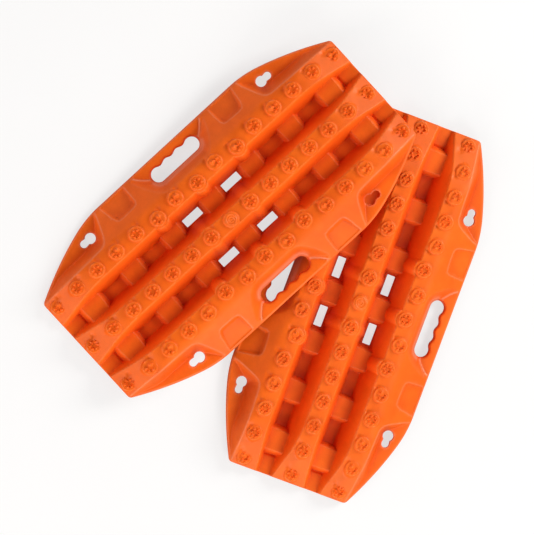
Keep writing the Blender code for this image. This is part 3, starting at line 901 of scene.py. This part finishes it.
def floor_paint():
    """Pale matt paint that glows faintly, more far away, to stay pale out to the horizon."""
    shading = Shading("studio_floor_paint")
    coords = shading.node("ShaderNodeTexCoord").outputs["Object"]
    noise = shading.node("ShaderNodeTexNoise", Scale=3.0, Vector=coords)
    tone = shading.ramp(noise.outputs["Fac"], 0.0, (0.27, 0.27, 0.269), 1.0, (0.29, 0.29, 0.289))
    away = shading.node("ShaderNodeVectorMath", operation="LENGTH")
    shading.feed(away.inputs[0], coords)
    glow = shading.node("ShaderNodeMapRange", interpolation_type="SMOOTHSTEP", From_Min=1.2,
                        From_Max=2.8, To_Min=0.68, To_Max=0.96, Value=away.outputs["Value"])
    # the camera sees the full glow; other rays meet a weak one
    seen = shading.node("ShaderNodeLightPath").outputs["Is Camera Ray"]
    choose = shading.node("ShaderNodeMix")
    for index, value in ((0, seen), (2, 0.12), (3, glow.outputs["Result"])):
        shading.feed(choose.inputs[index], value)
    shading.surface({"Roughness": 0.8, "Specular IOR Level": 0.1, "Base Color": tone,
                     "Emission Color": (1.0, 1.0, 1.0, 1.0),
                     "Emission Strength": choose.outputs[0]})
    return shading.material


# ---------------------------------------------------------------- the two boards
def add_object(name, data):
    obj = bpy.data.objects.new(name, data)
    bpy.context.scene.collection.objects.link(obj)
    return obj


def upper_normals(points):
    """Normals of the upper skin, from its slopes."""
    x, y, step = points[:, 0], points[:, 1], 0.12
    slope_x = (upper_z(x + step, y) - upper_z(x - step, y)) / (2 * step)
    slope_y = (upper_z(x, y + step) - upper_z(x, y - step)) / (2 * step)
    normals = np.stack([-slope_x, -slope_y, np.ones(len(points))], 1)
    return normals / np.linalg.norm(normals, axis=1, keepdims=True)


def board_object(name, verts, faces, fill_range, marks, normals, matrix):
    mesh = bpy.data.meshes.new(name)
    turn, place = np.array(matrix.to_3x3()), np.array(matrix.translation)
    mesh.from_pydata((verts * MM @ turn.T + place).tolist(), [], faces)
    mesh.update()
    mesh.shade_smooth()
    for key, values in marks.items():
        layer = mesh.attributes.new(key, "FLOAT", "POINT")
        full = np.zeros(len(verts), np.float32)
        full[:len(values)] = values
        layer.data.foreach_set("value", full)
    own = np.zeros(len(verts) * 3, np.float32)
    mesh.vertices.foreach_get("normal", own)
    own = own.reshape(-1, 3)
    own[slice(*fill_range)] = normals @ turn.T
    mesh.normals_split_custom_set_from_vertices(own.tolist())
    plan = mesh.attributes.new("board_place", "FLOAT_VECTOR", "POINT")
    plan.data.foreach_set("vector", (verts * MM).astype(np.float32).ravel())
    return add_object(name, mesh)


def build_boards():
    verts, faces, fill_range, upper_count = board_mesh()
    normals = upper_normals(verts[slice(*fill_range)])
    marks = surface_marks(verts[:upper_count])
    lower = Matrix.Translation(Vector((-PAIR_MIDDLE[0], -PAIR_MIDDLE[1], 0.0)) * MM)
    up = Vector((-UPPER_LEAN[0], -UPPER_LEAN[1], 1.0)).normalized()
    tilt = Vector((0, 0, 1)).rotation_difference(up).to_matrix()
    turn = tilt @ Matrix.Rotation(UPPER_YAW, 3, "Z")
    upper = lower @ Matrix.Translation(Vector((*UPPER_XY, UPPER_Z)) * MM) @ turn.to_4x4()
    for seed, body, matrix in ((1, "lower_board", lower), (2, "upper_board", upper)):
        obj = board_object(body + "_moulding", verts, faces, fill_range, marks, normals, matrix)
        obj.data.materials.append(nylon(body + "_nylon", seed))
        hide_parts(body)
        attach(obj, body)


# ---------------------------------------------------------------- floor, light, camera (metres)
BOX_AIM, BOX_DISTANCE, BOX_SIZE = Vector((0.0, 0.0, 0.03)), 3.6, 1.5
WARM, ROSE = (1.0, 0.99, 0.96), (1.0, 0.88, 0.86)
# name, azimuth from the front (-Y) towards +X, elevation, power, colour
SOFT_BOXES = (
    ("box_key", 45, 32, 109.1, WARM),
    ("box_front_high", 0, 58, 13.0, WARM),
    ("box_front_left", 315, 32, 44.3, WARM),
    ("box_left", 270, 22, 50.8, WARM),
    ("box_back_left", 225, 30, 43.0, ROSE),
    ("box_back", 180, 14, 25.0, (1.0, 0.86, 0.84)),
    ("box_back_right", 135, 12, 17.0, ROSE),
    ("box_side_low", 90, 12, 10.8, (1.0, 0.985, 0.97)))


def studio_floor():
    mesh = bpy.data.meshes.new("studio_floor")
    cells, half = 24, 30.0
    row = cells + 1
    ticks = [-half + 2 * half * i / cells for i in range(row)]
    quads = [(j * row + i, j * row + i + 1, (j + 1) * row + i + 1, (j + 1) * row + i)
             for j in range(cells) for i in range(cells)]
    mesh.from_pydata([(x, y, 0.0) for y in ticks for x in ticks], [], quads)
    floor = add_object("studio_floor", mesh)
    floor.location.z = -0.0004
    mesh.materials.append(floor_paint())


def studio_world():
    """A dim white surround that the camera sees as pale grey."""
    world = bpy.data.worlds.new("studio_world")
    bpy.context.scene.world = world
    world.use_nodes = True
    nodes, links = world.node_tree.nodes, world.node_tree.links
    dim, seen = nodes["Background"], nodes.new("ShaderNodeBackground")
    for background, tone, strength in ((dim, 1.0, 0.04), (seen, 0.96, 1.0)):
        background.inputs["Color"].default_value = (tone, tone, tone, 1.0)
        background.inputs["Strength"].default_value = strength
    path = nodes.new("ShaderNodeLightPath")
    choose = nodes.new("ShaderNodeMixShader")
    links.new(path.outputs["Is Camera Ray"], choose.inputs["Fac"])
    links.new(dim.outputs["Background"], choose.inputs[1])
    links.new(seen.outputs["Background"], choose.inputs[2])
    links.new(choose.outputs["Shader"], nodes["World Output"].inputs["Surface"])


def soft_box(name, azimuth, elevation, power, colour):
    azimuth, elevation = math.radians(azimuth), math.radians(elevation)
    place = BOX_AIM + Vector((math.sin(azimuth) * math.cos(elevation),
                              -math.cos(azimuth) * math.cos(elevation),
                              math.sin(elevation))) * BOX_DISTANCE
    light = bpy.data.lights.new(name, "AREA")
    light.shape = "RECTANGLE"
    light.size = light.size_y = BOX_SIZE
    light.energy = power
    light.color = colour
    obj = add_object(name, light)
    obj.location = place
    obj.rotation_mode = "QUATERNION"
    obj.rotation_quaternion = (BOX_AIM - place).to_track_quat("-Z", "Y")
    obj.visible_camera = False


def camera():
    """A long lens looking down on the pair, tipped a little towards +Y."""
    view_width, tip, roll = 0.8707, math.radians(11.4), math.radians(0.2)
    data = bpy.data.cameras.new("photo_camera")
    data.lens, data.sensor_width = 400.0, 36.0
    data.clip_start, data.clip_end = 0.1, 100.0
    cam = add_object("photo_camera", data)
    back = Vector((0.0, math.sin(tip), math.cos(tip)))
    target = Vector((0.8 - PAIR_MIDDLE[0], 164.6 - PAIR_MIDDLE[1], 49.3)) * MM
    right = Vector((0.3486, -0.9373, 0.0))
    right = (right - back * right.dot(back)).normalized()
    up = back.cross(right)
    right, up = (right * math.cos(roll) - up * math.sin(roll),
                 up * math.cos(roll) + right * math.sin(roll))
    distance = view_width * data.lens / data.sensor_width
    axes = Matrix((right, up, back)).transposed().to_4x4()
    cam.matrix_world = Matrix.Translation(target + back * distance) @ axes
    bpy.context.scene.camera = cam


build_boards()
studio_floor()
studio_world()
for box in SOFT_BOXES:
    soft_box(*box)
bpy.context.scene.view_settings.view_transform = "Standard"
bpy.context.scene.view_settings.look = "None"
camera()
